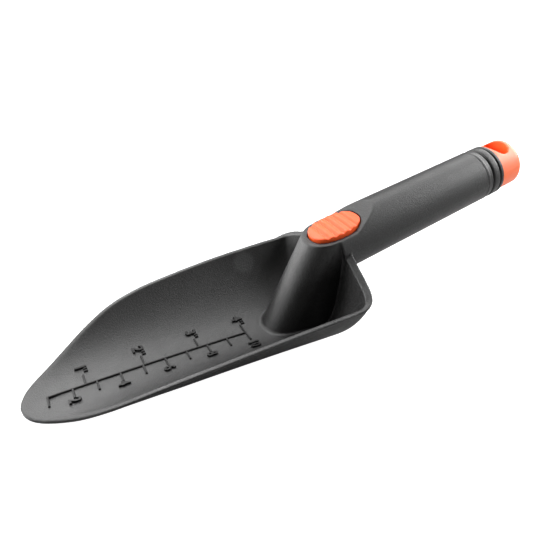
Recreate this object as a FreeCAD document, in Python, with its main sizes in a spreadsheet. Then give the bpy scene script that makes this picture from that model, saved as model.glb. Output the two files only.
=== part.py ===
import FreeCAD, Part
import math
import os
from FreeCAD import Placement, Rotation, Vector

# Hand trowel: one moulded body (blade, hollow neck and hollow grip), a thumb rest and an end cap.
# The model is laid out from the blade's tip (X = 0) along the blade, with Z = 0 at the floor line of the
# scoop, and each sub-part is then placed so that the origin is under the middle of the whole tool.

os.makedirs("parts", exist_ok=True)
doc = FreeCAD.newDocument("hand_trowel")

# ---------------------------------------------------------------- driving dimensions (mm and degrees)
SIZES = {
    "tip_x": -0.8,              # foremost point of the rim
    "side_half_width": 38.5,    # widest half width, near the heel
    "rim_slope": 0.02,          # fall of the side walls' highest line towards the tip
    "wall_thickness": 3.0,
    "tip_thickness": 1.9,
    "taper_length": 24.0,       # the floor thickens from the tip over this length
    "trough_factor": 0.00178,   # cross-section z = factor * |y| ** power
    "trough_power": 2.62,
    "floor_crown_x": 55.0,      # the floor line is a shallow arch with its top here
    "floor_arch": 0.00024,
    "heel_start_x": 120.0,      # the heel rises as height * ((x - start) / run) ** power
    "heel_run": 18.0,
    "heel_height": 3.0,
    "heel_power": 8.3,
    "land_z": -3.7,             # the heel's underside is flat here, so that the tool stands level
    "grip_axis_x": 180.0,       # a point on the grip's axis
    "grip_axis_z": 43.2,
    "grip_tilt": 11.84,
    "grip_front": 36.0,         # from that point forwards, inside the neck
    "grip_back": 63.3,          # from that point back to the grip's end face
    "grip_front_radius": 14.0,
    "grip_back_radius": 12.95,
    "grip_wall": 1.7,
    "grip_core_front": 12.0,    # the full core stops here, forwards of the axis point
    "core_draft": 0.5,          # the core is this much wider at its front end
    "low_core_front": 33.0,     # under the thumb rest only the core's lower part goes on, to here
    "low_core_top": 1.5,        # above the grip's axis
    "groove_radius": 1.0,
    "groove_lift": 0.25,        # centre of the groove's round above the grip's surface
    "groove_one": 7.2,          # forwards of the end face
    "groove_two": 2.1,
    "neck_front_x": 110.25,     # front line of the neck where it crosses Z = 0
    "neck_lean": 26.9,          # from vertical, towards the grip
    "neck_nose_radius": 11.5,
    "neck_back_half_width": 13.1,
    "neck_foot": -6.0,          # the neck is drawn from here to the top, then trimmed
    "neck_top": 56.0,
    "neck_foot_back_x": 142.0,
    "neck_top_back_x": 158.0,
    "neck_wall": 2.3,
    "hollow_foot": -8.0,        # the hollow in the neck is open below
    "hollow_top": 35.0,
    "hollow_foot_back_x": 132.6,
    "hollow_top_back_x": 141.0,
    "facet_height": 8.0,        # above the grip's axis
    "facet_ramp_start": 28.0,   # forwards of the axis point
    "facet_ramp_angle": 20.0,
    "facet_ramp_length": 40.0,
    "rest_x": 147.05,           # centre of the thumb rest's top
    "rest_z": 46.15,
    "rest_tilt": 13.2,
    "rest_half_length": 13.1,
    "rest_half_width": 9.0,
    "rest_thickness": 4.0,
    "rest_gap": 0.45,
    "rest_seat": 0.1,           # clear space under the rest, and round its pegs
    "valley_count": 5,
    "valley_pitch": 3.9,
    "valley_radius": 2.2,
    "valley_depth": 0.75,
    "peg_radius": 1.5,
    "peg_length": 3.0,
    "peg_end_gap": 0.3,
    "peg_spacing": 12.0,
    "cap_radius": 12.2,
    "cap_length": 14.3,
    "cap_edge_radius": 2.6,
    "spigot_clearance": 0.1,
    "spigot_length": 12.0,
    "spigot_wall": 1.4,
    "spigot_lead": 0.6,
    "spigot_floor": 0.2,        # the spigot's bore stops this far forwards of the cap's shoulder
    "slot_half_width": 7.6,
    "slot_half_length": 4.9,
    "slot_centre": 6.3,         # back from the grip's end face
    "rib_height": 0.5,          # depth scale in the scoop
    "rib_width": 1.0,
    "scale_start": 10.0,
    "scale_end": 100.5,
    "centimetre_mark": 5.4,
    "inch_mark": 6.7,
}
sheet = doc.addObject("Spreadsheet::Sheet", "sizes")
for row, (alias, value) in enumerate(SIZES.items(), start=1):
    sheet.set(f"A{row}", alias)
    sheet.set(f"B{row}", str(value))
    sheet.setAlias(f"B{row}", alias)
doc.recompute()


def size(alias):
    """The sheet's value for this alias."""
    return float(getattr(sheet, alias))


def bind(feature, **expressions):
    """Bind each property of the feature to an expression on the sheet's aliases."""
    for name, expression in expressions.items():
        feature.setExpression(name, expression)


def at_angle(x, z, tilt):
    """A placement in the middle plane whose local X climbs at this angle."""
    return Placement(Vector(x, 0, z), Rotation(Vector(0, 1, 0), -tilt))


GRIP = at_angle(size("grip_axis_x"), size("grip_axis_z"), size("grip_tilt"))
ALONG_GRIP = Rotation(Vector(0, 1, 0), 90)
HIGH = 120.0                    # longer than any cut has to be
CENTIMETRE, INCH = 10.0, 25.4

# ---------------------------------------------------------------- the scoop's surfaces


def floor_height(x):
    """Height of the scoop's middle line: a shallow arch that turns up into the heel wall."""
    climb = max(0.0, (x - size("heel_start_x")) / size("heel_run"))
    arch = size("floor_arch") * (x - size("floor_crown_x")) ** 2
    return size("heel_height") * climb ** size("heel_power") - arch


def trough_height(y):
    """Height of the cross-section above the middle line."""
    return size("trough_factor") * abs(y) ** size("trough_power")


def wall_at(x):
    """Thickness of the floor here: thin at the tip, full behind the taper."""
    share = min(max(x / size("taper_length"), 0.0), 1.0)
    return size("tip_thickness") + share * (size("wall_thickness") - size("tip_thickness"))


def offset_point(function, x, distance):
    """A point of the curve z = function(x), moved down its normal by this distance."""
    step = 0.01
    slope = (function(x + step) - function(x - step)) / (2 * step)
    angle = math.atan(slope)
    return x + distance * math.sin(angle), function(x) - distance * math.cos(angle)


def spine_curve(offset_at):
    """The middle line, from ahead of the tip to the top of the heel wall, moved out by offset_at(x)."""
    stations = [-14, 5, 30, 55, 80, 100, 114, 122, 128, 132]
    for height in (2, 4, 8, 14, 22, 32, 44, 58):
        stations.append(size("heel_start_x") + size("heel_run")
                        * (height / size("heel_height")) ** (1 / size("heel_power")))
    points = [offset_point(floor_height, x, offset_at(x)) for x in stations]
    curve = Part.BSplineCurve()
    curve.interpolate([Vector(x, 0, z) for x, z in points])
    return curve


def section_curve(distance):
    """The cross-section, moved outwards, with its middle at height 0 whatever the distance."""
    points = [offset_point(trough_height, y, distance) for y in range(-48, 49, 6)]
    curve = Part.BSplineCurve()
    curve.interpolate([Vector(0, y, z + distance) for y, z in points])
    return curve


def space_above(offset_at):
    """Everything above the scoop's inner surface, once that is moved outwards by offset_at(x)."""
    spine = spine_curve(offset_at)
    section = section_curve(offset_at(HIGH))
    poles = [[a + b for b in section.getPoles()] for a in spine.getPoles()]
    surface = Part.BSplineSurface()
    surface.buildFromPolesMultsKnots(
        poles, spine.getMultiplicities(), section.getMultiplicities(),
        spine.getKnots(), section.getKnots(), False, False, spine.Degree, section.Degree)
    return surface.toShape().extrude(Vector(0, 0, HIGH))


def rim_half_width_points():
    """Half of the rim's outline in plan: a blunt tip, a taper and a long nearly straight side."""
    wide = size("side_half_width")
    return [(size("tip_x"), 0.0), (1.2, 6.4), (6.0, 11.5), (15.5, 18.2), (30.0, 27.2), (44.0, 32.4),
            (60.0, 35.4), (85.0, wide - 1.2), (118.0, wide - 0.2), (134.0, wide), (140.6, wide - 2.0),
            (144.8, wide - 6.8), (146.9, wide - 13.5), (148.0, wide - 22.0)]


def plan_prism():
    """The rim's outline from above, as a tall prism."""
    half = [Vector(x, y, -HIGH / 4) for x, y in rim_half_width_points()]
    other = [Vector(p.x, -p.y, p.z) for p in reversed(half[1:])]
    curve = Part.BSplineCurve()
    curve.interpolate(other + half)
    closing = Part.LineSegment(half[-1], other[0])
    wire = Part.Wire([curve.toShape(), closing.toShape()])
    return Part.Face(wire).extrude(Vector(0, 0, 2 * HIGH))


def side_prism():
    """The rim's outline from the side: it climbs along the heel wall to the grip."""
    start = Vector(118.0, -HIGH / 2, floor_height(118.0) + trough_height(size("side_half_width")))
    front = Vector(-HIGH / 4, -HIGH / 2, start.z - size("rim_slope") * (start.x + HIGH / 4))
    climb = [start] + [Vector(x, -HIGH / 2, z) for x, z in ((132.0, 24.3), (139.0, 25.6), (143.0, 28.6),
                                                            (145.6, 32.8), (147.6, 37.6))]
    curve = Part.BSplineCurve()
    curve.interpolate(climb, InitialTangent=Vector(1, 0, 0.03), FinalTangent=Vector(0.3, 0, 0.9))
    back = Vector(1.5 * HIGH, -HIGH / 2, climb[-1].z)
    corners = [climb[-1], back, Vector(back.x, back.y, -HIGH / 4), Vector(front.x, front.y, -HIGH / 4),
               front, start]
    edges = [curve.toShape()]
    edges += [Part.LineSegment(a, b).toShape() for a, b in zip(corners, corners[1:])]
    return Part.Face(Part.Wire(edges)).extrude(Vector(0, HIGH, 0))


# ---------------------------------------------------------------- the neck


def neck_section(z, inset, back_x):
    """A horizontal section of the neck: a round nose and two sides that flare towards the heel."""
    radius = size("neck_nose_radius") - inset
    front = size("neck_front_x") + z * math.tan(math.radians(size("neck_lean"))) + inset
    centre = front + radius
    back = size("neck_back_half_width") - inset
    nose = Part.Arc(Vector(centre, -radius, z), Vector(front, 0, z), Vector(centre, radius, z))
    corners = [Vector(centre, radius, z), Vector(back_x, back, z), Vector(back_x, -back, z),
               Vector(centre, -radius, z)]
    edges = [nose.toShape()]
    edges += [Part.LineSegment(a, b).toShape() for a, b in zip(corners, corners[1:])]
    return Part.Wire(edges)


def neck_column(low, high, inset, low_back, high_back):
    """The neck between two heights, with its sides drawn in by the inset."""
    wires = [neck_section(low, inset, low_back), neck_section(high, inset, high_back)]
    return Part.makeLoft(wires, True, True)


def neck_cap():
    """Below the grip's axis anything goes; above it the neck stays within the grip's round."""
    below = Part.makeBox(2 * HIGH, HIGH, HIGH, Vector(-HIGH, -HIGH / 2, -HIGH))
    tube = Part.makeCylinder(size("grip_front_radius"), HIGH, Vector(-HIGH, 0, 0), Vector(1, 0, 0))
    cap = below.fuse(tube)
    cap.Placement = GRIP
    return cap


def facet_cutter():
    """The space above the flat that carries the thumb rest, with the ramp behind it."""
    low = size("facet_height")
    start = -size("facet_ramp_start")
    end = start + size("facet_ramp_length")
    high = low + size("facet_ramp_length") * math.tan(math.radians(size("facet_ramp_angle")))
    outline = [(-HIGH, low), (start, low), (end, high), (end, HIGH), (-HIGH, HIGH)]
    corners = [Vector(s, -HIGH / 2, w) for s, w in outline]
    cutter = Part.Face(Part.makePolygon(corners + corners[:1])).extrude(Vector(0, HIGH, 0))
    cutter.Placement = GRIP
    return cutter


def rest_pocket():
    """The oval pocket under the thumb rest, with two blind holes for its pegs."""
    grow = size("rest_gap")
    seat = size("rest_seat")
    depth = size("rest_thickness") + seat
    oval = Part.Ellipse(Vector(0, 0, -depth), size("rest_half_length") + grow,
                        size("rest_half_width") + grow)
    pocket = Part.Face(Part.Wire(oval.toShape())).extrude(Vector(0, 0, HIGH))
    hole = size("peg_length") + size("peg_end_gap")
    for side in (-1, 1):
        foot = Vector(side * size("peg_spacing") / 2, 0, -depth - hole)
        pocket = pocket.fuse(Part.makeCylinder(size("peg_radius") + seat, hole + seat, foot))
    pocket.Placement = REST
    return pocket


def low_core():
    """The lower part of the grip's core, which carries on under the thumb rest's pocket."""
    front = -size("low_core_front")
    radius = size("grip_back_radius") - size("grip_wall") + size("core_draft")
    core = Part.makeCylinder(radius, -front, Vector(front, 0, 0), Vector(1, 0, 0))
    above = Part.makeBox(HIGH, HIGH, HIGH, Vector(-HIGH, -HIGH / 2, size("low_core_top")))
    core = core.cut(above)
    core.Placement = GRIP
    return core


def scale_marks():
    """The raised depth scale: a long rib, centimetre marks on one side and inch marks on the other."""
    half = size("rib_width") / 2
    marks = [(size("scale_start") - half, size("scale_end"), 0.0, 2 * half)]
    for count in range(1, 11):
        middle = CENTIMETRE * count
        marks.append((middle - half, middle + half, -size("centimetre_mark"), half))
    for count in range(1, 5):
        middle = min(INCH * count, size("scale_end") - half)
        marks.append((middle - half, middle + half, half, size("inch_mark")))
    blocks = []
    for x0, x1, y0, y1 in marks:
        blocks.append(Part.makeBox(x1 - x0, y1 - y0, HIGH, Vector(x0, y0, -HIGH / 2)))
    return blocks[0].multiFuse(blocks[1:])


REST = at_angle(size("rest_x"), size("rest_z"), size("rest_tilt"))

# ---------------------------------------------------------------- the grip, from bound primitives
grip_round = doc.addObject("Part::Cone", "grip_round")
bind(grip_round, Radius1="sizes.grip_front_radius", Radius2="sizes.grip_back_radius",
     Height="sizes.grip_front + sizes.grip_back")
grip_round.Placement = GRIP * Placement(Vector(-size("grip_front"), 0, 0), ALONG_GRIP)

grip_core = doc.addObject("Part::Cone", "grip_core")
bind(grip_core, Radius1="sizes.grip_back_radius - sizes.grip_wall + sizes.core_draft",
     Radius2="sizes.grip_back_radius - sizes.grip_wall", Height="sizes.grip_core_front + sizes.grip_back")
grip_core.Placement = GRIP * Placement(Vector(-size("grip_core_front"), 0, 0), ALONG_GRIP)

grooves = []
for alias in ("groove_one", "groove_two"):
    ring = doc.addObject("Part::Torus", alias + "_ring")
    bind(ring, Radius1="sizes.grip_back_radius + sizes.groove_lift", Radius2="sizes.groove_radius")
    ring.Placement = GRIP * Placement(Vector(size("grip_back") - size(alias), 0, 0), ALONG_GRIP)
    grooves.append(ring)
doc.recompute()

# ---------------------------------------------------------------- the moulded body
scoop_air = space_above(lambda x: 0.0)
scoop_block = space_above(wall_at)
rim_trim = plan_prism().common(side_prism())
blade = scoop_block.cut(scoop_air).common(rim_trim)

neck = neck_column(size("neck_foot"), size("neck_top"), 0.0,
                   size("neck_foot_back_x"), size("neck_top_back_x")).common(neck_cap())
hollow = neck_column(size("hollow_foot"), size("hollow_top"), size("neck_wall"),
                     size("hollow_foot_back_x"), size("hollow_top_back_x"))
neck_in_blade = neck.common(scoop_block)
marks = scale_marks().common(scoop_block).cut(space_above(lambda x: -size("rib_height")))

solid = blade.fuse(neck_in_blade).fuse(grip_round.Shape).fuse(marks)
for cutter in [facet_cutter(), rest_pocket(), grip_core.Shape, low_core(), hollow]:
    solid = solid.cut(cutter)
for ring in grooves:
    solid = solid.cut(ring.Shape)
ground = Part.makeBox(4 * HIGH, 2 * HIGH, HIGH, Vector(-HIGH, -HIGH, size("land_z") - HIGH))
solid = solid.cut(ground).removeSplitter()

body = doc.addObject("Part::Feature", "trowel_body")
body.Shape = solid.Solids[0] if len(solid.Solids) == 1 else solid

# ---------------------------------------------------------------- the end cap
PLANES = {"XY": "XY_Plane", "XZ": "XZ_Plane", "YZ": "YZ_Plane"}


def new_body(label):
    """An empty PartDesign body that carries its own name."""
    made = doc.addObject("PartDesign::Body", label)
    made.Label = label
    return made


def new_sketch(owner, plane, name):
    """A sketch on one of the body's own origin planes."""
    sketch = owner.newObject("Sketcher::SketchObject", name)
    role = PLANES[plane]
    face = [f for f in owner.Origin.OriginFeatures if f.Role == role][0]
    sketch.AttachmentSupport = [(face, "")]
    sketch.MapMode = "FlatFace"
    return sketch


def add_loop(sketch, corners):
    """A closed chain of straight lines through these corners."""
    for a, b in zip(corners, corners[1:] + corners[:1]):
        sketch.addGeometry(Part.LineSegment(Vector(*a, 0), Vector(*b, 0)), False)


cap = new_body("end_cap")
profile = new_sketch(cap, "XZ", "cap_profile")
spigot = size("grip_back_radius") - size("grip_wall") - size("spigot_clearance")
bore = spigot - size("spigot_wall")
face_radius = size("cap_radius")
edge = size("cap_edge_radius")
length = size("cap_length")
lead = size("spigot_lead")
end = -size("spigot_length")
outline = [(-size("spigot_floor"), 0.0), (-size("spigot_floor"), bore), (end, bore), (end, spigot - lead),
           (end + 2 * lead, spigot), (0.0, spigot), (0.0, face_radius), (length - edge, face_radius)]
for a, b in zip(outline, outline[1:]):
    profile.addGeometry(Part.LineSegment(Vector(*a, 0), Vector(*b, 0)), False)
turn = edge * math.sqrt(0.5)
profile.addGeometry(Part.Arc(Vector(length - edge, face_radius, 0),
                             Vector(length - edge + turn, face_radius - edge + turn, 0),
                             Vector(length, face_radius - edge, 0)), False)
profile.addGeometry(Part.LineSegment(Vector(length, face_radius - edge, 0), Vector(length, 0, 0)), False)
profile.addGeometry(Part.LineSegment(Vector(length, 0, 0), Vector(*outline[0], 0)), False)
turned = cap.newObject("PartDesign::Revolution", "cap_turned")
turned.Profile = profile
turned.ReferenceAxis = (profile, ["H_Axis"])
turned.Angle = 360.0
doc.recompute()

slot = new_sketch(cap, "XY", "slot_outline")
slot.addGeometry(Part.Ellipse(Vector(size("slot_centre"), size("slot_half_width"), 0),
                              Vector(size("slot_centre") + size("slot_half_length"), 0, 0),
                              Vector(size("slot_centre"), 0, 0)), False)
hang = cap.newObject("PartDesign::Pocket", "hang_slot")
hang.Profile = slot
hang.Type = "ThroughAll"
hang.Midplane = True
cap.Placement = GRIP * Placement(Vector(size("grip_back"), 0, 0), Rotation())
doc.recompute()

# ---------------------------------------------------------------- the thumb rest
rest = new_body("thumb_rest")
oval = new_sketch(rest, "XY", "rest_outline")
oval.addGeometry(Part.Ellipse(Vector(size("rest_half_length"), 0, 0), Vector(0, size("rest_half_width"), 0),
                              Vector(0, 0, 0)), False)
slab = rest.newObject("PartDesign::Pad", "rest_slab")
slab.Profile = oval
bind(slab, Length="sizes.rest_thickness")
slab.Reversed = True
doc.recompute()

valley = new_sketch(rest, "XZ", "valley_outline")
first = -(size("valley_count") - 1) / 2 * size("valley_pitch")
valley.addGeometry(Part.Circle(Vector(first, size("valley_radius") - size("valley_depth"), 0),
                               Vector(0, 0, 1), size("valley_radius")), False)
cut = rest.newObject("PartDesign::Pocket", "rest_valley")
cut.Profile = valley
cut.Type = "ThroughAll"
cut.Midplane = True
valleys = rest.newObject("PartDesign::LinearPattern", "rest_valleys")
valleys.Originals = [cut]
valleys.Direction = (valley, ["H_Axis"])
bind(valleys, Occurrences="sizes.valley_count", Length="(sizes.valley_count - 1) * sizes.valley_pitch")
rest.Tip = valleys
doc.recompute()

pegs = new_sketch(rest, "XY", "peg_outlines")
for side in (-1, 1):
    pegs.addGeometry(Part.Circle(Vector(side * size("peg_spacing") / 2, 0, 0), Vector(0, 0, 1),
                                 size("peg_radius")), False)
legs = rest.newObject("PartDesign::Pad", "rest_pegs")
legs.Profile = pegs
legs.Reversed = True
bind(legs, Length="sizes.rest_thickness + sizes.peg_length")
rest.Tip = legs
rest.Placement = REST
doc.recompute()

# ---------------------------------------------------------------- place, check and write
boxes = [obj.Shape.optimalBoundingBox() for obj in (body, cap, rest)]
front = min(box.XMin for box in boxes)
back = max(box.XMax for box in boxes)
shift = Vector(-(front + back) / 2, 0, -min(box.ZMin for box in boxes))
for obj in (body, cap, rest):
    obj.Placement = Placement(shift, Rotation()) * obj.Placement
    obj.Label = obj.Name
doc.recompute()
for obj in doc.Objects:
    if "Invalid" in obj.State or "Error" in obj.State:
        raise RuntimeError(f"{obj.Name} failed: {obj.State}")
for obj in (body, cap, rest):
    shape = obj.Shape
    if shape.isNull() or not shape.isValid():
        raise RuntimeError(f"{obj.Name} has no valid shape")
    shape.exportStep(f"parts/{obj.Label}.step")
    box = shape.optimalBoundingBox()
    print(obj.Label, len(shape.Solids), "solids", round(shape.Volume), "mm3",
          [round(v, 2) for v in (box.XMin, box.XMax, box.YMin, box.YMax, box.ZMin, box.ZMax)])
print("shift from the blade's layout", [round(v, 3) for v in shift])
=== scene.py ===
import math

import bpy
import numpy as np
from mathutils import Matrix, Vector


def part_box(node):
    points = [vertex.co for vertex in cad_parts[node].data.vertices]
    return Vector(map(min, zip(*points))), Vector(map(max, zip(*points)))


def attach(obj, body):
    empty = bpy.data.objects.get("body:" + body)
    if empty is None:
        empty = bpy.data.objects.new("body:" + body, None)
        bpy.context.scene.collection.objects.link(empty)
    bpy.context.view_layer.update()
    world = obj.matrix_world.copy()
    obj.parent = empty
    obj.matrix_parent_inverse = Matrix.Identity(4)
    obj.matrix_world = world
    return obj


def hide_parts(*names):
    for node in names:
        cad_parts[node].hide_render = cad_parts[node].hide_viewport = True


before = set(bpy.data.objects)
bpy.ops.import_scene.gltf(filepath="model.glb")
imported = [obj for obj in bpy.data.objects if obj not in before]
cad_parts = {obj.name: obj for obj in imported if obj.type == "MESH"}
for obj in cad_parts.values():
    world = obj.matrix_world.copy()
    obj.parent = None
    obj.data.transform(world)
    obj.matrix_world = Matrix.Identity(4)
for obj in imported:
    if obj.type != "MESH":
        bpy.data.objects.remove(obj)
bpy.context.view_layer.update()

# The looks of a hand trowel. Its pieces are laid out in millimetres from the blade's tip (X = 0) along the
# blade, with Z = 0 at the scoop's floor line, and each becomes a mesh in the row's frame, in metres.

MM = 0.001
TIP_X = -0.8                                    # the body's foremost point in this layout
LAND_Z = -3.7                                   # the flat land under the heel that the tool stands on
SHIFT = np.array([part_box("trowel_body")[0].x / MM - TIP_X, 0.0, -LAND_Z])
COARSE = 1.0             # widens the grids of the distance fields

# ---------------------------------------------------------------- sizes (mm, degrees)
SOFT_EDGE, CORE_EDGE = 0.3, 1.0                 # the edge radius of most corners, and of the bores
BOX_GAP = 0.02                                  # keeps the land just inside the solids' box

# the scoop: a trough whose cross-section is factor * |y| ** power, on a shallowly arched floor line
TROUGH_FACTOR, TROUGH_POWER = 0.00178, 2.62
FLOOR_CROWN_X, FLOOR_ARCH = 55.0, 0.00024
STEEP_START, STEEP_EASE, STEEP_RATE, STEEP_Y, STEEP_POWER = 70.0, 10.0, 0.048, 36.5, 10
HEEL_START, HEEL_RUN, HEEL_LIMIT, HEEL_HEIGHT, HEEL_POWER = 120.0, 18.6, 1.62, 3.0, 8.3
CORNER_BLEND = 1.35                             # how squarely the side walls meet the heel wall
FLOOR_WALL, TIP_WALL, RIM_WALL, TAPER = 2.8, 1.7, 1.6, 60.0
THIN_START, THIN_RUN = 20.0, 18.0               # where the side wall thins towards the rim
LIP_WIDTH, LIP_HEIGHT = 2.05, 1.3               # top face of the rim, and the lip below it
HEEL_LIP, HEEL_LIP_START, HEEL_LIP_RUN = 3.1, 136.0, 6.0
RIM_EDGE, LIP_FILLET, LIP_EDGE = 0.35, 0.15, 0.45
PLAN_STEP, PLAN_FROM, PLAN_TO, PLAN_SIDE = 0.25, -4.0, 152.0, 42.5     # the grid of the rim's tables
# the rim's inner edge, from the tip round to the neck: a taper in plan (x, y), then a climb up the heel
# wall (y, z)
SIDE_PLAN = np.array([(1.5, 0.0), (2.2, 3.4), (4.2, 7.1), (7.8, 10.9), (14.3, 15.7), (22.0, 20.7),
                      (32.0, 26.1), (44.0, 30.6), (58.0, 33.3), (78.0, 35.0), (100.0, 36.0), (118.0, 36.4),
                      (130.0, 36.6)])
HEEL_RISE = np.array([(36.5, 24.1), (35.8, 24.9), (34.0, 26.3), (32.0, 27.5), (28.0, 29.2), (24.0, 31.1),
                      (19.0, 33.4), (14.0, 36.0), (9.0, 38.4)])
# how fast the rim's face rises outwards along the heel, by distance from the middle
HEEL_LEAN = np.array([(12.0, 0.85), (15.0, 0.6), (20.0, 0.4), (30.0, 0.3)])

# the grip: a slightly tapered tube, with a bore behind and a cavity below the thumb rest
GRIP_X, GRIP_Z, GRIP_TILT = 180.0, 43.2, 11.84
GRIP_FRONT, GRIP_BACK = 36.0, 63.8
GRIP_R_FRONT, GRIP_R_BACK = 14.0, 12.95
GRIP_BORE, GRIP_CORE_FRONT = 11.25, 12.0
LOW_CORE_MID, LOW_CORE_HALF, LOW_CORE_TOP, LOW_CORE_RADIUS = -22.0, 11.0, 1.5, 11.75
PARTING_RELIEF, PARTING_WIDTH = 0.09, 0.35      # the faint line where the two halves of the mould met
COLLAR_LENGTH, COLLAR_WALL, COLLAR_OVERLAP = 11.0, 1.7, 1.0            # the grooved collar ends the grip
# the collar's outline: how far forwards of the grip's end face, how far inside the grip's surface
COLLAR_OUTLINE = [(11.0, 0.05), (10.9, -0.02), (9.9, -0.03), (9.55, -0.05), (9.42, 0.02), (9.3, 0.16),
                  (8.9, 0.26), (8.0, 0.3), (7.4, 0.36), (7.08, 0.55), (7.05, 1.4), (6.35, 1.4), (6.33, 0.35),
                  (6.1, 0.14), (5.6, 0.04), (4.8, 0.0), (4.0, 0.0), (3.2, 0.04), (2.75, 0.14), (2.55, 0.35),
                  (2.53, 1.4), (1.88, 1.4), (1.86, 0.3), (1.7, 0.12), (1.4, 0.05), (0.5, 0.05), (0.2, 0.14),
                  (0.05, 0.32), (0.0, 0.5)]

# the neck: a leaning column with a round nose, hollow from below
NECK_FRONT, NECK_LEAN, NECK_NOSE, NECK_FLARE, NECK_END = 110.25, 26.9, 11.5, 0.085, 152.0
NECK_TOP_EDGE, NECK_PROUD = 1.0, 0.03
NECK_FILLET, CREASE, CREASE_START, CREASE_RUN = 1.2, 0.12, 122.0, 12.0   # its foot: front, then rear
GRIP_FILLET, GRIP_FILLET_TOP, GRIP_FILLET_RUN = 2.0, -2.0, 4.0
NECK_WALL, HOLLOW_TOP, HOLLOW_BACK, HOLLOW_LEAN = 2.3, 35.0, 133.4, 0.195
HOLLOW_TOP_EDGE, HOLLOW_BACK_EDGE, HOLLOW_MOUTH = 2.0, 1.5, 0.5
FACET, RAMP_START, RAMP_ANGLE, FACET_EDGE = 8.0, 25.6, 20.7, 0.35      # the flat around the thumb rest

# the thumb rest
REST_X, REST_Z, REST_TILT = 146.85, 46.85, 13.2
REST_LONG, REST_WIDE, REST_SQUARE = 12.95, 8.8, 2.4
REST_THICK, REST_GAP, REST_UNDER, REST_CROWN, REST_EDGE, REST_SAG = 4.7, 0.35, 0.1, 0.25, 0.45, 0.5
VALLEY_PITCH, VALLEY_COUNT, VALLEY_DEPTH = 3.9, 5, 0.78
VALLEY_POWER, VALLEY_FADE, VALLEY_SLOPE = 1.3, 1.5, 1.1
PEG_X, PEG_RADIUS, PEG_LENGTH = 6.0, 1.5, 3.0

# the end cap
CAP_RADIUS, CAP_LENGTH, CAP_EDGE, CAP_DOME, CAP_TAPER = 12.15, 14.1, 2.4, 0.6, 0.012
CAP_GAP, CAP_SEAM, CAP_SEAM_HEIGHT = 0.02, 0.06, 2.1
SPIGOT_RADIUS, SPIGOT_WALL, SPIGOT_LENGTH, SPIGOT_ROOT = 11.1, 1.4, 12.0, 0.5
SLOT_S, SLOT_LONG, SLOT_WIDE, SLOT_EDGE = 6.1, 4.7, 7.3, 0.25

# the depth scale
CENTIMETRE, INCH = 10.0, 25.4
SCALE_START, SCALE_END, CM_MARK, INCH_MARK = 9.5, 100.5, 5.4, 6.7
MARK_WIDTH, MARK_HEIGHT = 0.95, 0.7
# a mark's section: places across it as shares of its width, and heights
MARK_SECTION = [(-0.5, -0.4), (-0.5, 0.35), (-0.4, 0.55), (-0.2, MARK_HEIGHT),
                (0.2, MARK_HEIGHT), (0.4, 0.55), (0.5, 0.35), (0.5, -0.4)]
MARK_STEP, MARK_END, MARK_END_RISE = 1.5, 0.15, 0.8                    # its stations, and its lower ends
DIGIT_HEIGHT, DIGIT_NARROW, DIGIT_BOLD, DIGIT_RELIEF = 5.0, 0.85, 0.08, 0.9
DIGIT_SHARE, DIGIT_EDGE, DIGIT_LIFT = 0.73, 0.12, 0.02          # a figure's height per unit of font size
CM_GAP, WIDE_CM_GAP, INCH_REACH = 0.3, 1.6, 5.6                 # where the figures start, past the marks
INCH_TICKS, TICK_LENGTH = (0.55, 1.85), 1.7     # the two strokes of the inch sign, past the figure

# ---------------------------------------------------------------- colours, floor, camera and lights
BODY_COLOUR, BODY_ROUGH, BODY_SHINE, MARK_SHINE = (0.0081, 0.008, 0.0079), 0.42, 0.5, 0.22
# a painted reflection: a paler, blurred round spot in the dark plastic's base colour on the far inner wall
REFLECTION_PLACE, REFLECTION_RADIUS, REFLECTION_BLUR, REFLECTION_TONE = (115.3, 33.4, 17.5), 4.4, 2.2, 0.026
REST_COLOUR, REST_ROUGH, REST_SHINE = (0.9, 0.105, 0.018), 0.45, 0.38
CAP_COLOUR, CAP_ROUGH, CAP_SHINE = (0.97, 0.15, 0.026), 0.42, 0.9
FLOOR_TONE, FLOOR_ROUGH, FLOOR_GLOW, FLOOR_HALF = 0.37, 0.9, 1.0, 3.0
# the camera: degrees round and up, distance, lens and film (mm), and the point that it looks at
VIEW_AZ, VIEW_EL, VIEW_DISTANCE, VIEW_LENS, VIEW_FILM = -28.2, 32.4, 236.7, 33.47, 36.0
VIEW_TARGET = np.array([115.8, 0.0, 28.0])
SKY_CORE, SKY_EDGE = 5, 24                      # half angles of each soft light in the sky, degrees
# soft lights in the sky: degrees clockwise from straight behind the tool, degrees up, radiance
SKY_LIGHTS = [(0, 10, 2.5), (130, 10, 2.5), (280, 8, 1.5), (310, 11, 9.0), (60, 32, 6.5), (90, 32, 8.0),
              (150, 32, 1.3), (4, 50, 7.8), (120, 78, 2.5)]
# soft lamps near the tool: place and aim in the blade's layout, size, radiance
LAMPS = [((380, -60, 180), (235, 0, 60), 120, 8.5), ((20, 60, 260), (20, 0, 0), 120, 6),
         ((-60, 140, 120), (40, 0, 10), 120, 3), ((60, 180, 60), (130, 0, 40), 120, 3.4),
         ((-160, 40, 40), (110, 0, 20), 120, 2)]


# ---------------------------------------------------------------- distance fields
def fuse(a, b, radius=0.0):
    """Union of two fields, with a fillet of this radius in the corner between them."""
    if np.ndim(radius) == 0 and radius <= 0:
        return np.minimum(a, b)
    u = np.maximum(radius - a, 0.0)
    v = np.maximum(radius - b, 0.0)
    return np.maximum(radius, np.minimum(a, b)) - np.sqrt(u * u + v * v)


def keep(a, b, radius=0.0):
    """Intersection of two fields, with this edge radius."""
    return -fuse(-a, -b, radius)


def cut(a, b, radius=0.0):
    """The first field with the second taken away, with this edge radius."""
    return keep(a, -b, radius)


# ---------------------------------------------------------------- the scoop
def arch(x):
    return -FLOOR_ARCH * (x - FLOOR_CROWN_X) ** 2


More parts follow.
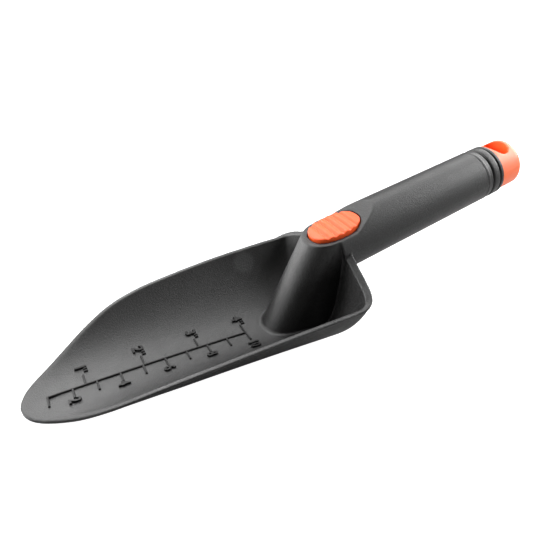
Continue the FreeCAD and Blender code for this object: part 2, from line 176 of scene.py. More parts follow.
def heel_climb(x):
    climb = np.clip((x - HEEL_START) / HEEL_RUN, 0.0, HEEL_LIMIT)
    return HEEL_HEIGHT * climb ** HEEL_POWER


def trough(y):
    return TROUGH_FACTOR * np.abs(y) ** TROUGH_POWER


def steepening(x, y):
    """How much higher the side walls reach towards the heel, where their tops stand steeper."""
    run = x - STEEP_START
    rise = 0.5 * (run + np.sqrt(run * run + STEEP_EASE ** 2))       # near zero, then a straight climb
    return STEEP_RATE * rise * (np.abs(y) / STEEP_Y) ** STEEP_POWER


def offset_curve(function, x, distance):
    """The curve z = function(x), moved down its normal, read again at the same x."""
    slope = np.gradient(function(x), x)
    length = np.sqrt(1 + slope * slope)
    return np.interp(x, x + distance * slope / length, function(x) - distance / length)


# the scoop's outer lines, along and across the blade: the inner ones moved out by the wall
LINE_X = np.arange(-20.0, 149.0, 0.05)
LINE_Y = np.arange(0.0, 52.0, 0.05)
FLOOR_T = TIP_WALL + (FLOOR_WALL - TIP_WALL) * np.clip(LINE_X / TAPER, 0, 1)
SIDE_T = FLOOR_WALL + (RIM_WALL - FLOOR_WALL) * np.clip((LINE_Y - THIN_START) / THIN_RUN, 0, 1)
OUTER_FLOOR = offset_curve(lambda x: arch(x) + heel_climb(x), LINE_X, FLOOR_T)
OUTER_SIDE = offset_curve(trough, LINE_Y, SIDE_T) + FLOOR_WALL


def blend_heights(base, side, heel):
    """Side and heel walls that rise from the base and round into each other at the corners."""
    q = CORNER_BLEND
    return base + (np.maximum(side, 0) ** q + np.maximum(heel, 0) ** q) ** (1 / q)


def inner_height(x, y):
    return blend_heights(arch(x), trough(y) + steepening(x, y), heel_climb(x))


def outer_height(x, y):
    floor = np.interp(x, LINE_X, OUTER_FLOOR)
    base = arch(x) - np.interp(x, LINE_X, FLOOR_T)
    side = np.interp(np.abs(y), LINE_Y, OUTER_SIDE) + steepening(x, np.maximum(np.abs(y) - RIM_WALL, 0))
    return blend_heights(base, side, floor - base)


def above(height, x, y, z):
    """Distance above a height field."""
    step = 0.05
    here = height(x, y)
    dx = (height(x + step, y) - height(x - step, y)) / (2 * step)
    dy = (height(x, y + step) - height(x, y - step)) / (2 * step)
    return (z - here) / np.sqrt(1 + dx * dx + dy * dy)


def spline(points, count):
    """Points along a smooth curve (centripetal Catmull-Rom) through the given ones."""
    pts = np.asarray(points, float)
    pts = np.vstack([2 * pts[0] - pts[1], pts, 2 * pts[-1] - pts[-2]])
    knots = np.concatenate([[0], np.cumsum(np.linalg.norm(np.diff(pts, axis=0), axis=1) ** 0.5)])
    out = []
    for i in range(1, len(pts) - 2):
        t0, t1, t2, t3 = knots[i - 1:i + 3]
        t = np.linspace(t1, t2, count, endpoint=False)[:, None]
        a1 = (t1 - t) / (t1 - t0) * pts[i - 1] + (t - t0) / (t1 - t0) * pts[i]
        a2 = (t2 - t) / (t2 - t1) * pts[i] + (t - t1) / (t2 - t1) * pts[i + 1]
        a3 = (t3 - t) / (t3 - t2) * pts[i + 1] + (t - t2) / (t3 - t2) * pts[i + 2]
        b1 = (t2 - t) / (t2 - t0) * a1 + (t - t0) / (t2 - t0) * a2
        b2 = (t3 - t) / (t3 - t1) * a2 + (t - t1) / (t3 - t1) * a3
        out.append((t2 - t) / (t2 - t1) * b1 + (t - t1) / (t2 - t1) * b2)
    return np.vstack(out + [pts[-2:-1]])


def rim_line():
    """The rim's inner edge as points (x, y, z) on the scoop's inner surface, y >= 0."""
    side = spline(SIDE_PLAN, 30)
    side = np.column_stack([side, inner_height(side[:, 0], side[:, 1])])
    rise = spline(HEEL_RISE, 60)
    reach = np.arange(125.0, 147.5, 0.01)                  # where the heel wall is, to find x from the height
    x = np.array([np.interp(z, inner_height(reach, y), reach) for y, z in rise])
    heel = np.column_stack([x, rise])
    clear = side[-1, 0] + 0.5
    heel = heel[heel[:, 0] > clear]
    line = np.vstack([side, heel])
    return spline(line[::6], 12)


def rim_tables():
    """Over a fine plan grid: the distance outside the rim's inner edge, the rim's height and its width."""
    line = rim_line()
    xs = np.arange(PLAN_FROM, PLAN_TO, PLAN_STEP)
    ys = np.arange(0.0, PLAN_SIDE, PLAN_STEP)
    gx, gy = np.meshgrid(xs, ys, indexing="ij")
    flat = np.column_stack([gx.ravel(), gy.ravel()])
    nearest = np.empty(len(flat), int)
    gap = np.empty(len(flat))
    batch = 4000
    for i in range(0, len(flat), batch):
        d = flat[i:i + batch, None, :] - line[None, :, :2]
        d = (d * d).sum(2)
        nearest[i:i + batch] = d.argmin(1)
        gap[i:i + batch] = np.sqrt(d.min(1))
    tangent = np.gradient(line[:, :2], axis=0)
    normal = np.column_stack([-tangent[:, 1], tangent[:, 0]])
    side = ((flat - line[nearest, :2]) * normal[nearest]).sum(1)
    signed = np.where(side > 0, gap, -gap).reshape(gx.shape)
    height = line[nearest, 2].reshape(gx.shape)
    at_heel = np.clip((line[nearest, 0] - HEEL_LIP_START) / HEEL_LIP_RUN, 0, 1).reshape(gx.shape)
    lip = LIP_WIDTH + (HEEL_LIP - LIP_WIDTH) * at_heel
    lean = at_heel * np.interp(line[nearest, 1].reshape(gx.shape), *HEEL_LEAN.T)
    return signed, height + lean * signed, lip


RIM_DISTANCE, RIM_HEIGHT, RIM_LIP = rim_tables()


def from_plan(table, x, y):
    """Bilinear reading of a plan table at any point, held inside its last cell."""
    u = np.clip((x - PLAN_FROM) / PLAN_STEP, 0, table.shape[0] - 1.001)
    v = np.clip(np.abs(y) / PLAN_STEP, 0, table.shape[1] - 1.001)
    i, j = u.astype(int), v.astype(int)
    u, v = u - i, v - j
    low = table[i, j] * (1 - v) + table[i, j + 1] * v
    high = table[i + 1, j] * (1 - v) + table[i + 1, j + 1] * v
    return low * (1 - u) + high * u


def blade_field(x, y, z):
    """The scoop: between its inner and outer surfaces, under the rim's flat top, with a small lip."""
    plan_x, plan_y = np.broadcast_arrays(x, y)
    outside = from_plan(RIM_DISTANCE, plan_x, plan_y)
    rim = from_plan(RIM_HEIGHT, plan_x, plan_y)
    top = keep(above(inner_height, x, y, z), z - rim, RIM_EDGE)
    wall = -above(outer_height, x, y, z)
    lip = rim - LIP_HEIGHT - z
    body = keep(top, fuse(wall, lip, LIP_FILLET), SOFT_EDGE)
    return keep(body, outside - from_plan(RIM_LIP, plan_x, plan_y), LIP_EDGE)


# ---------------------------------------------------------------- the grip and the neck
TILT = math.radians(GRIP_TILT)


def along_grip(x, z):
    """Position along the grip's axis and height above it."""
    dx, dz = x - GRIP_X, z - GRIP_Z
    return dx * math.cos(TILT) + dz * math.sin(TILT), dz * math.cos(TILT) - dx * math.sin(TILT)


def grip_radius(s):
    share = (s + GRIP_FRONT) / (GRIP_FRONT + GRIP_BACK)
    return GRIP_R_FRONT + (GRIP_R_BACK - GRIP_R_FRONT) * share


def grip_field(x, y, z):
    """The grip as a solid bar with its parting line, as far as the collar."""
    s, w = along_grip(x, z)
    r = np.sqrt(y * y + w * w)
    seam = PARTING_RELIEF * np.exp(-(w / PARTING_WIDTH) ** 2)
    tube = keep(r - grip_radius(s) - seam, s - GRIP_BACK + COLLAR_LENGTH - COLLAR_OVERLAP)
    return keep(tube, -GRIP_FRONT - s)


def neck_section(x, y, z, inset):
    """Distance outside the neck's leaning, flared column, or outside one this much thinner."""
    lean = math.tan(math.radians(NECK_LEAN))
    centre = NECK_FRONT + NECK_NOSE + z * lean
    dx = x - centre
    nose = np.sqrt(dx * dx + y * y)
    front = (nose - NECK_NOSE + inset) / np.sqrt(1 + (np.minimum(dx, 0) / np.maximum(nose, 1e-3) * lean) ** 2)
    side = (np.abs(y) - NECK_NOSE + inset - NECK_FLARE * dx) / math.sqrt(1 + NECK_FLARE ** 2)
    return np.where(dx < 0, front, side)


def neck_field(x, y, z):
    """The solid neck, cut off along the grip's own surface."""
    s, w = along_grip(x, z)
    column = neck_section(x, y, z, 0.0)
    round_top = np.minimum(w, np.sqrt(y * y + w * w) - grip_radius(s) + NECK_PROUD)
    column = keep(column, round_top, NECK_TOP_EDGE)
    return keep(column, x - NECK_END)


def rest_local(x, z):
    """Position along the thumb rest and height above its top."""
    t = math.radians(REST_TILT)
    dx, dz = x - REST_X, z - REST_Z
    return dx * math.cos(t) + dz * math.sin(t), dz * math.cos(t) - dx * math.sin(t)


def oval(u, v, long, wide):
    """Distance outside a squarish oval."""
    n = REST_SQUARE
    k = (np.abs(u / long) ** n + np.abs(v / wide) ** n) ** (1 / n)
    k = np.maximum(k, 1e-3)
    grad = np.sqrt((np.abs(u / long) ** (n - 1) / long) ** 2 + (np.abs(v / wide) ** (n - 1) / wide) ** 2)
    grad = grad / k ** (n - 1)
    return (k - 1) / np.maximum(grad, 1e-3)


def facet_field(s, w):
    """The flat that the thumb rest sits in, which climbs back to the grip's top behind it."""
    slope = math.radians(RAMP_ANGLE)
    return fuse(w - FACET, (w - FACET) * math.cos(slope) - (s + RAMP_START) * math.sin(slope))


def body_field(x, y, z):
    """The moulding but for its collar: scoop, neck and grip, less the rest's pocket, bores and hollow."""
    s, w = along_grip(x, z)
    r = np.sqrt(y * y + w * w)
    neck = keep(neck_field(x, y, z), -above(outer_height, x, y, z))
    soft = GRIP_FILLET * np.clip((GRIP_FILLET_TOP - w) / GRIP_FILLET_RUN, 0.0, 1.0)
    column = keep(fuse(neck, grip_field(x, y, z), soft), facet_field(s, w), FACET_EDGE)
    foot = NECK_FILLET + (CREASE - NECK_FILLET) * np.clip((x - CREASE_START) / CREASE_RUN, 0, 1)
    body = fuse(blade_field(x, y, z), column, foot)

    u, h = rest_local(x, z)
    pocket = keep(oval(u, y, REST_LONG + REST_GAP, REST_WIDE + REST_GAP), -REST_THICK - REST_UNDER - h)
    body = cut(body, pocket, SOFT_EDGE)
    core = keep(r - GRIP_BORE, -GRIP_CORE_FRONT - s, CORE_EDGE)
    low_core = keep(r - LOW_CORE_RADIUS, w - LOW_CORE_TOP, CORE_EDGE)
    low_core = keep(low_core, np.abs(s - LOW_CORE_MID) - LOW_CORE_HALF, CORE_EDGE)
    body = cut(body, fuse(core, low_core), SOFT_EDGE)
    hollow = keep(neck_section(x, y, z, NECK_WALL), z - HOLLOW_TOP, HOLLOW_TOP_EDGE)
    hollow = keep(hollow, x - HOLLOW_BACK - (z - LAND_Z) * HOLLOW_LEAN, HOLLOW_BACK_EDGE)
    body = cut(body, hollow, HOLLOW_MOUTH)
    return keep(body, LAND_Z + BOX_GAP - z, SOFT_EDGE)


# ---------------------------------------------------------------- from a field to a mesh
def stations(*spans):
    """Grid stations along one axis: each span is a start, an end and a spacing."""
    out = []
    for start, end, step in spans:
        count = max(2, round((end - start) / (step * COARSE)))
        out.append(np.linspace(start, end, count, endpoint=False))
    return np.concatenate(out + [[spans[-1][1]]])


def surface_net(values, grid):
    """One vertex in each grid cell that the surface crosses, and a quad around each crossed grid edge."""
    inside = values < 0
    shape = np.array(values.shape) - 1
    count = np.zeros(shape, np.int8)
    corners = [(i, j, k) for i in (0, 1) for j in (0, 1) for k in (0, 1)]
    for i, j, k in corners:
        count += inside[i:i + shape[0], j:j + shape[1], k:k + shape[2]]
    cells = np.argwhere((count > 0) & (count < 8))
    index = np.full(shape, -1, np.int32)
    index[tuple(cells.T)] = np.arange(len(cells))
    at = {c: values[tuple((cells + np.array(c)).T)] for c in corners}
    total = np.zeros((len(cells), 3))
    hits = np.zeros(len(cells))
    for a in corners:
        for axis in range(3):
            if a[axis]:
                continue
            b = tuple(v + (n == axis) for n, v in enumerate(a))
            crossed = (at[a] < 0) != (at[b] < 0)
            t = np.where(crossed, at[a] / np.where(crossed, at[a] - at[b], 1.0), 0.0)
            point = np.array(a, float) + t[:, None] * np.eye(3)[axis]
            total += point * crossed[:, None]
            hits += crossed
    share = total / hits[:, None]
    verts = np.column_stack([g[at_cell] + part * np.diff(g)[at_cell]
                             for g, at_cell, part in zip(grid, cells.T, share.T)])
    quads = []
    for axis in range(3):
        u, v = (axis + 1) % 3, (axis + 2) % 3
        near = np.take(inside, range(shape[axis]), axis)
        far = np.take(inside, range(1, shape[axis] + 1), axis)
        for rising in (False, True):
            edge = np.argwhere((near > far) if rising else (far > near))
            edge = edge[(edge[:, u] > 0) & (edge[:, v] > 0)]
            edge = edge[(edge[:, u] < shape[u]) & (edge[:, v] < shape[v])]
            du, dv = np.eye(3, dtype=int)[u], np.eye(3, dtype=int)[v]
            ring = [edge - du - dv, edge - dv, edge, edge - du]
            quad = np.column_stack([index[tuple(c.T)] for c in ring])
            quads.append(quad if rising else quad[:, ::-1])
    return verts, np.vstack(quads)


def gradient(field, x, y, z):
    step = 0.02
    ahead = (field(x + step, y, z), field(x, y + step, z), field(x, y, z + step))
    behind = (field(x - step, y, z), field(x, y - step, z), field(x, y, z - step))
    return (np.column_stack(ahead) - np.column_stack(behind)) / (2 * step)


def settle(field, verts, reach, rounds=3):
    """Move each vertex onto the exact surface along the field's slope."""
    for _ in range(rounds):
        x, y, z = verts.T
        grad = gradient(field, x, y, z)
        move = field(x, y, z)[:, None] * grad / np.maximum((grad * grad).sum(1), 0.25)[:, None]
        length = np.linalg.norm(move, axis=1)
        verts = verts - move * np.minimum(1, reach / np.maximum(length, 1e-9))[:, None]
    return verts


def link(name, verts, faces):
    """A smooth-shaded mesh in the row's frame from points (mm) in the blade's layout."""
    mesh = bpy.data.meshes.new(name)
    mesh.from_pydata(((np.asarray(verts) + SHIFT) * MM).tolist(), [], faces)
    mesh.polygons.foreach_set("use_smooth", [True] * len(mesh.polygons))
    mesh.update()
    piece = bpy.data.objects.new(name, mesh)
    bpy.context.scene.collection.objects.link(piece)
    return piece


def field_mesh(name, field, grid, place=None):
    """A mesh of a field sampled on a grid; place turns the field's own coordinates into the layout's."""
    x, y, z = grid
    values = np.empty([len(g) for g in grid], np.float32)
    slab = 40
    for i in range(0, len(x), slab):
        values[i:i + slab] = field(x[i:i + slab, None, None], y[None, :, None], z[None, None, :])
    verts, quads = surface_net(values, grid)
    verts = settle(field, verts, reach=0.3)
    if place:
        verts = place(verts)
    return link(name, verts, quads.tolist())


def from_tilted(x, z, tilt):
    """A function that turns points of a tilted frame into the layout's."""
    c, s = math.cos(math.radians(tilt)), math.sin(math.radians(tilt))
    turn = np.array([[c, 0, s], [0, 1, 0], [-s, 0, c]])
    return lambda points: points @ turn + np.array([x, 0, z])


# ---------------------------------------------------------------- the grooved collar
def collar_mesh(name, place, segments=160):
    """A turned ring: the grooved outline outside, a plain bore inside."""
    outline = [(-back, grip_radius(GRIP_BACK - back) - inset) for back, inset in COLLAR_OUTLINE]
    bore = grip_radius(GRIP_BACK) - COLLAR_WALL
    outline += [(0.0, bore), (-COLLAR_LENGTH, bore)]
    s, r = np.array(outline).T
    angle = np.arange(segments) * 2 * np.pi / segments
    verts = np.stack([s[:, None] + 0 * angle, r[:, None] * np.cos(angle), r[:, None] * np.sin(angle)], axis=2)
    count = len(outline)
    faces = []
    for i in range(count):
        for j in range(segments):
            a, b = i * segments + j, i * segments + (j + 1) % segments
            c, d = (i + 1) % count * segments + (j + 1) % segments, (i + 1) % count * segments + j
            faces.append((a, d, c, b))
    return link(name, place(verts.reshape(-1, 3)), faces)


# ---------------------------------------------------------------- the thumb rest
def rest_field(u, y, h):
    """An oval pad with broad ridges across it and narrow valleys between them, and two pegs below."""
    ridge = np.abs(np.sin(np.pi * u / VALLEY_PITCH))
    inside = 1 - np.clip((np.abs(u) - VALLEY_COUNT / 2 * VALLEY_PITCH) / VALLEY_FADE, 0, 1)
    crown = -VALLEY_DEPTH * (1 - ridge) ** VALLEY_POWER * inside
    crown = crown - REST_CROWN * (y / REST_WIDE) ** 2 - REST_SAG * (u / REST_LONG) ** 4
    top = (h - crown) / VALLEY_SLOPE
    side = oval(u, y, REST_LONG, REST_WIDE)
    pad = keep(keep(side, top, REST_EDGE), -REST_THICK - h, SOFT_EDGE)
    peg = np.sqrt((np.abs(u) - PEG_X) ** 2 + y * y) - PEG_RADIUS
    peg = keep(peg, np.abs(h + REST_THICK) - PEG_LENGTH, SOFT_EDGE)
    return fuse(pad, peg)


# ---------------------------------------------------------------- the end cap
def cap_field(s, y, w):
    """A short round cap with a hang slot across it and a hollow spigot, s from the grip's end face."""
    r = np.sqrt(y * y + w * w)
    shell = keep(r - CAP_RADIUS + CAP_TAPER * s, s - CAP_LENGTH + CAP_DOME * (r / CAP_RADIUS) ** 2, CAP_EDGE)
    shell = keep(shell, CAP_GAP - s, SOFT_EDGE)
    shell = shell - CAP_SEAM * np.exp(-((w - CAP_SEAM_HEIGHT) / PARTING_WIDTH) ** 2)
    spigot = keep(np.abs(r - SPIGOT_RADIUS + SPIGOT_WALL / 2) - SPIGOT_WALL / 2, np.abs(s) - SPIGOT_LENGTH)
    spigot = keep(spigot, s - SPIGOT_ROOT)
    k = np.sqrt(((s - SLOT_S) / SLOT_LONG) ** 2 + (y / SLOT_WIDE) ** 2)
    grad = np.sqrt(((s - SLOT_S) / SLOT_LONG ** 2) ** 2 + (y / SLOT_WIDE ** 2) ** 2) / np.maximum(k, 1e-3)
    slot = (k - 1) / np.maximum(grad, 1e-3)
    return fuse(cut(shell, slot, SLOT_EDGE), spigot)


# ---------------------------------------------------------------- the depth scale
def on_floor(x, y):
    return inner_height(np.asarray(x, float), np.asarray(y, float))


def rib(start, end):
    """A raised rib between two plan points, with a narrower rounded top, lying on the scoop's floor."""
    start, end = np.array(start, float), np.array(end, float)
    length = np.linalg.norm(end - start)
    along = (end - start) / length
    across = np.array([-along[1], along[0]])
    count = max(3, int(length / MARK_STEP))
    verts, faces = [], []
    stops = [(t, 1.0) for t in np.linspace(MARK_END, length - MARK_END, count)]
    stops = [(0.0, MARK_END_RISE)] + stops + [(length, MARK_END_RISE)]
    for t, rise in stops:
        for side, up in MARK_SECTION:
            p = start + along * t + across * side * MARK_WIDTH
            verts.append((p[0], p[1], on_floor(*p) + (up * rise if up > 0 else up)))
    n = len(MARK_SECTION)
    for i in range(len(stops) - 1):
        for j in range(n):
            a, b = i * n + j, i * n + (j + 1) % n
            faces.append((a, a + n, b + n, b))
    faces.append(tuple(range(n)))
    faces.append(tuple(reversed(range((len(stops) - 1) * n, len(stops) * n))))
    return verts, faces


def lettering(text, x, y):
    """Raised figures whose tops point to +X and that read towards -Y, starting at this place."""
    curve = bpy.data.curves.new("figures", "FONT")
    curve.body = text
    curve.size = DIGIT_HEIGHT / DIGIT_SHARE
    curve.extrude = DIGIT_RELIEF - DIGIT_EDGE
    curve.bevel_depth = DIGIT_EDGE
    curve.bevel_resolution = 2
    curve.offset = DIGIT_BOLD
    curve.resolution_u = 8
    holder = bpy.data.objects.new("figures", curve)
    bpy.context.scene.collection.objects.link(holder)
    bpy.context.view_layer.update()
    mesh = bpy.data.meshes.new_from_object(holder.evaluated_get(bpy.context.evaluated_depsgraph_get()))
    bpy.data.objects.remove(holder)
    points = np.array([v.co[:] for v in mesh.vertices])
    faces = [tuple(p.vertices) for p in mesh.polygons]
    bpy.data.meshes.remove(mesh)
    points[:, 0] *= DIGIT_NARROW
    middle = DIGIT_HEIGHT / 2
    px = x + points[:, 1] - middle
    py = y - points[:, 0]
    return np.column_stack([px, py, on_floor(px, py) + points[:, 2] + DIGIT_LIFT]), faces


def depth_scale():
    """A line along the floor, centimetre marks on one side, inch marks on the other, and their figures."""
    parts = [rib((SCALE_START, MARK_WIDTH / 2), (SCALE_END, MARK_WIDTH / 2))]
    for count in range(1, 11):
        x = CENTIMETRE * count
        parts.append(rib((x, MARK_WIDTH / 2), (x, -CM_MARK)))
        if count % 2 == 0:
            parts.append(lettering(str(count), x, -CM_MARK - (CM_GAP if count < 10 else WIDE_CM_GAP)))
    for count in range(1, 5):
        x = min(INCH * count, SCALE_END - MARK_WIDTH / 2)
        parts.append(rib((x, MARK_WIDTH / 2), (x, INCH_MARK)))
        figure = lettering(str(count), x, INCH_MARK + INCH_REACH)
        parts.append(figure)
        for gap in INCH_TICKS:
            y = figure[0][:, 1].min() - gap
            parts.append(rib((x + DIGIT_HEIGHT / 2 - TICK_LENGTH, y), (x + DIGIT_HEIGHT / 2, y)))
    verts, faces = [], []
    for points, polygons in parts:
        base = len(verts)
        verts += [tuple(p) for p in points]
        faces += [tuple(base + i for i in f) for f in polygons]
    piece = link("depth_scale", verts, faces)
    piece.data.polygons.foreach_set("use_smooth", [False] * len(faces))
    return piece


# ---------------------------------------------------------------- materials
def material(name, colour, roughness):
    made = bpy.data.materials.new(name)
    made.use_nodes = True
    shader = made.node_tree.nodes["Principled BSDF"]
    shader.inputs["Roughness"].default_value = roughness
    shader.inputs["Base Color"].default_value = (*colour, 1)
    return made, made.node_tree, shader


def noise(tree, scale, detail, rough=0.5):
    """Noise fixed to the object, its scale in cells per metre."""
    place = tree.nodes.new("ShaderNodeTexCoord")
    made = tree.nodes.new("ShaderNodeTexNoise")
    made.inputs["Scale"].default_value = scale
    made.inputs["Detail"].default_value = detail
    made.inputs["Roughness"].default_value = rough
    tree.links.new(place.outputs["Object"], made.inputs["Vector"])
    return made.outputs["Fac"]


def spread(tree, value, low, high, out_low, out_high):
    """The value with its range from low to high stretched over another one."""
    made = tree.nodes.new("ShaderNodeMapRange")
    for socket, number in (("From Min", low), ("From Max", high), ("To Min", out_low), ("To Max", out_high)):
        made.inputs[socket].default_value = number
    tree.links.new(value, made.inputs["Value"])
    return made.outputs["Result"]


def tint(tree, shader, value, dark, light):
    """Drive the base colour from the dark one to the light one by a value."""
    ramp = tree.nodes.new("ShaderNodeValToRGB")
    ramp.color_ramp.elements[0].position, ramp.color_ramp.elements[1].position = 0.3, 0.7
    ramp.color_ramp.elements[0].color, ramp.color_ramp.elements[1].color = (*dark, 1), (*light, 1)
    tree.links.new(value, ramp.inputs["Fac"])
    tree.links.new(ramp.outputs["Color"], shader.inputs["Base Color"])


def relief(tree, shader, layers):
    """Bumps stacked on each other: each layer is a height value, its depth in metres and its strength."""
    below = None
    for value, depth, strength in layers:
        bump = tree.nodes.new("ShaderNodeBump")
        bump.inputs["Distance"].default_value = depth
        bump.inputs["Strength"].default_value = strength
        tree.links.new(value, bump.inputs["Height"])
        if below:
            tree.links.new(below, bump.inputs["Normal"])
        below = bump.outputs["Normal"]
    tree.links.new(below, shader.inputs["Normal"])


def pin_mark(tree, shader):
    """A painted reflection: a paler, blurred round spot mixed into the base colour inside the far wall."""
    place = tree.nodes.new("ShaderNodeTexCoord")
    reach = tree.nodes.new("ShaderNodeVectorMath")
    reach.operation = "DISTANCE"
    reach.inputs[1].default_value = [v * MM for v in np.array(REFLECTION_PLACE) + SHIFT]
    tree.links.new(place.outputs["Object"], reach.inputs[0])
    share = spread(tree, reach.outputs["Value"], REFLECTION_RADIUS * MM, (REFLECTION_RADIUS + REFLECTION_BLUR) * MM, 1.0, 0.0)
    mix = tree.nodes.new("ShaderNodeMixRGB")
    mix.inputs["Color2"].default_value = (REFLECTION_TONE, REFLECTION_TONE, REFLECTION_TONE, 1)
    tree.links.new(share, mix.inputs["Fac"])
    tree.links.new(shader.inputs["Base Color"].links[0].from_socket, mix.inputs["Color1"])
    tree.links.new(mix.outputs["Color"], shader.inputs["Base Color"])


def dark_plastic(name, shine):
    """Dark grey filled polypropylene with a fine satin mould texture."""
    made, tree, shader = material(name, BODY_COLOUR, BODY_ROUGH)
    shader.inputs["Specular IOR Level"].default_value = shine
    cloud = noise(tree, scale=60.0, detail=4.0)
    tint(tree, shader, cloud, [0.75 * c for c in BODY_COLOUR], [1.3 * c for c in BODY_COLOUR])
    # painted reflection: a paler round spot in the base colour on the far inner wall
    pin_mark(tree, shader)
    grain = noise(tree, scale=2600.0, detail=2.0, rough=0.6)
    stipple = noise(tree, scale=1350.0, detail=3.0, rough=0.75)
    patch = noise(tree, scale=180.0, detail=3.0)
    gloss = spread(tree, patch, 0.3, 0.7, BODY_ROUGH - 0.03, BODY_ROUGH + 0.04)
    tree.links.new(gloss, shader.inputs["Roughness"])
    relief(tree, shader, [(grain, 0.00006, 0.5), (stipple, 0.0002, 0.9), (patch, 0.00005, 0.25)])
    return made


def orange_plastic(name, colour, roughness, shine):
    """Orange plastic, smoother than the dark one, with slow changes of tone and gloss."""
    made, tree, shader = material(name, colour, roughness)
    shader.inputs["Specular IOR Level"].default_value = shine
    cloud = noise(tree, scale=90.0, detail=3.0)
    tint(tree, shader, cloud, [0.93 * c for c in colour], [min(1.0, 1.05 * c) for c in colour])
    grain = noise(tree, scale=1800.0, detail=2.0, rough=0.6)
    patch = noise(tree, scale=250.0, detail=2.0)
    gloss = spread(tree, patch, 0.3, 0.7, roughness - 0.04, roughness + 0.05)
    tree.links.new(gloss, shader.inputs["Roughness"])
    relief(tree, shader, [(grain, 0.00005, 0.4), (patch, 0.00006, 0.2)])
    return made


# ---------------------------------------------------------------- the pieces
plastic = dark_plastic("dark_plastic", BODY_SHINE)
body = field_mesh("trowel_moulding", body_field, (
    stations((-2.4, 8.0, 0.5), (8.0, 100.0, 0.8), (100.0, 150.0, 0.55), (150.0, 236.0, 0.8)),
    stations((-40.2, -15.0, 0.55), (-15.0, 15.0, 0.65), (15.0, 40.2, 0.55)),
    stations((-5.0, 71.0, 0.6))))
marks = depth_scale()
rest = field_mesh("ridged_thumb_rest", rest_field, (
    stations((-14.0, 14.0, 0.3)), stations((-10.0, 10.0, 0.3)), stations((-8.0, 1.0, 0.25))),
    from_tilted(REST_X, REST_Z, REST_TILT))
at_grip_end = from_tilted(GRIP_X + GRIP_BACK * math.cos(TILT), GRIP_Z + GRIP_BACK * math.sin(TILT), GRIP_TILT)
collar = collar_mesh("grooved_collar", at_grip_end)
cap = field_mesh("hang_cap", cap_field, (
    stations((-13.0, 16.0, 0.4)), stations((-13.4, 13.4, 0.4)), stations((-13.4, 13.4, 0.4))), at_grip_end)
for piece, node, slot, finish in (
        (body, "trowel_body", "body_plastic", plastic),
        (marks, None, "body_plastic", dark_plastic("mark_plastic", MARK_SHINE)),
        (collar, None, "body_plastic", plastic),
        (rest, "thumb_rest", "rest_plastic",
         orange_plastic("rest_orange", REST_COLOUR, REST_ROUGH, REST_SHINE)),
        (cap, "end_cap", "cap_plastic",
         orange_plastic("cap_orange", CAP_COLOUR, CAP_ROUGH, CAP_SHINE))):
    piece.data.materials.append(finish)
    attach(piece, "root")
    if node:
        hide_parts(node)


# ---------------------------------------------------------------- stage
def white_sweep():
    """A matt floor that the camera sees as overexposed white, and that lights the tool as grey card."""
    made, tree, shader = material("floor", (FLOOR_TONE, FLOOR_TONE, FLOOR_TONE), FLOOR_ROUGH)
    path = tree.nodes.new("ShaderNodeLightPath")
    glow = tree.nodes.new("ShaderNodeMath")
    glow.operation = "MULTIPLY"
    glow.inputs[1].default_value = FLOOR_GLOW
    tree.links.new(path.outputs["Is Camera Ray"], glow.inputs[0])
    shader.inputs["Emission Color"].default_value = (1, 1, 1, 1)
    tree.links.new(glow.outputs["Value"], shader.inputs["Emission Strength"])
    return made


floor_mesh = bpy.data.meshes.new("floor")
floor_mesh.from_pydata([(u * FLOOR_HALF, v * FLOOR_HALF, 0) for u, v in ((-1, -1), (1, -1), (1, 1), (-1, 1))],
                       [], [(0, 1, 2, 3)])
floor = bpy.data.objects.new("floor", floor_mesh)
bpy.context.scene.collection.objects.link(floor)
floor.data.materials.append(white_sweep())


def add_camera():
    data = bpy.data.cameras.new("camera")
    data.lens = VIEW_LENS
    data.sensor_width = VIEW_FILM
    az, el = math.radians(VIEW_AZ), math.radians(VIEW_EL)
    back = Vector((math.sin(az) * math.cos(el), -math.cos(az) * math.cos(el), math.sin(el)))
    camera = bpy.data.objects.new("camera", data)
    target = Vector((VIEW_TARGET + SHIFT) * MM)
    camera.location = target + back * VIEW_DISTANCE * MM
    camera.rotation_euler = back.to_track_quat("Z", "Y").to_euler()
    bpy.context.scene.collection.objects.link(camera)
    bpy.context.scene.camera = camera


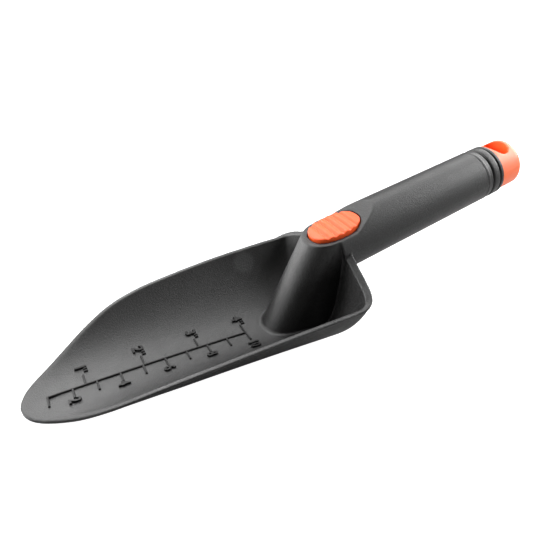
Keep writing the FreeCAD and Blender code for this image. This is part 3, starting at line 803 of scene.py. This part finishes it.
def add_lamp(place, aim, size, radiance):
    """A square soft lamp, placed and aimed in the blade's layout (mm)."""
    data = bpy.data.lights.new("lamp", "AREA")
    data.size = size * MM
    data.energy = math.pi * data.size ** 2 * radiance
    lamp = bpy.data.objects.new("lamp", data)
    lamp.location = Vector((np.array(place) + SHIFT) * MM)
    lamp.rotation_euler = Vector(np.array(place, float) - np.array(aim)).to_track_quat("Z", "Y").to_euler()
    lamp.visible_camera = False
    bpy.context.scene.collection.objects.link(lamp)


def studio():
    """A dark sky with soft round lights in it, which the camera itself sees as a white backdrop."""
    world = bpy.data.worlds.new("studio")
    world.use_nodes = True
    tree = world.node_tree
    place = tree.nodes.new("ShaderNodeTexCoord")
    total = None
    for turn, rise, power in SKY_LIGHTS:
        turn, rise = math.radians(turn), math.radians(rise)
        dot = tree.nodes.new("ShaderNodeVectorMath")
        dot.operation = "DOT_PRODUCT"
        aim = (math.sin(turn) * math.cos(rise), math.cos(turn) * math.cos(rise), math.sin(rise))
        dot.inputs[1].default_value = aim
        tree.links.new(place.outputs["Generated"], dot.inputs[0])
        patch = tree.nodes.new("ShaderNodeMapRange")
        patch.interpolation_type = "SMOOTHSTEP"
        patch.inputs["From Min"].default_value = math.cos(math.radians(SKY_EDGE))
        patch.inputs["From Max"].default_value = math.cos(math.radians(SKY_CORE))
        patch.inputs["To Max"].default_value = power
        tree.links.new(dot.outputs["Value"], patch.inputs["Value"])
        if total is None:
            total = patch.outputs["Result"]
        else:
            add = tree.nodes.new("ShaderNodeMath")
            tree.links.new(total, add.inputs[0])
            tree.links.new(patch.outputs["Result"], add.inputs[1])
            total = add.outputs["Value"]
    path = tree.nodes.new("ShaderNodeLightPath")
    seen = tree.nodes.new("ShaderNodeMath")
    seen.operation = "MAXIMUM"
    tree.links.new(path.outputs["Is Camera Ray"], seen.inputs[0])
    tree.links.new(total, seen.inputs[1])
    tree.links.new(seen.outputs["Value"], tree.nodes["Background"].inputs["Strength"])
    tree.nodes["Background"].inputs["Color"].default_value = (1, 1, 1, 1)
    bpy.context.scene.world = world


for lamp in LAMPS:
    add_lamp(*lamp)
add_camera()
studio()
bpy.context.scene.view_settings.view_transform = "Standard"
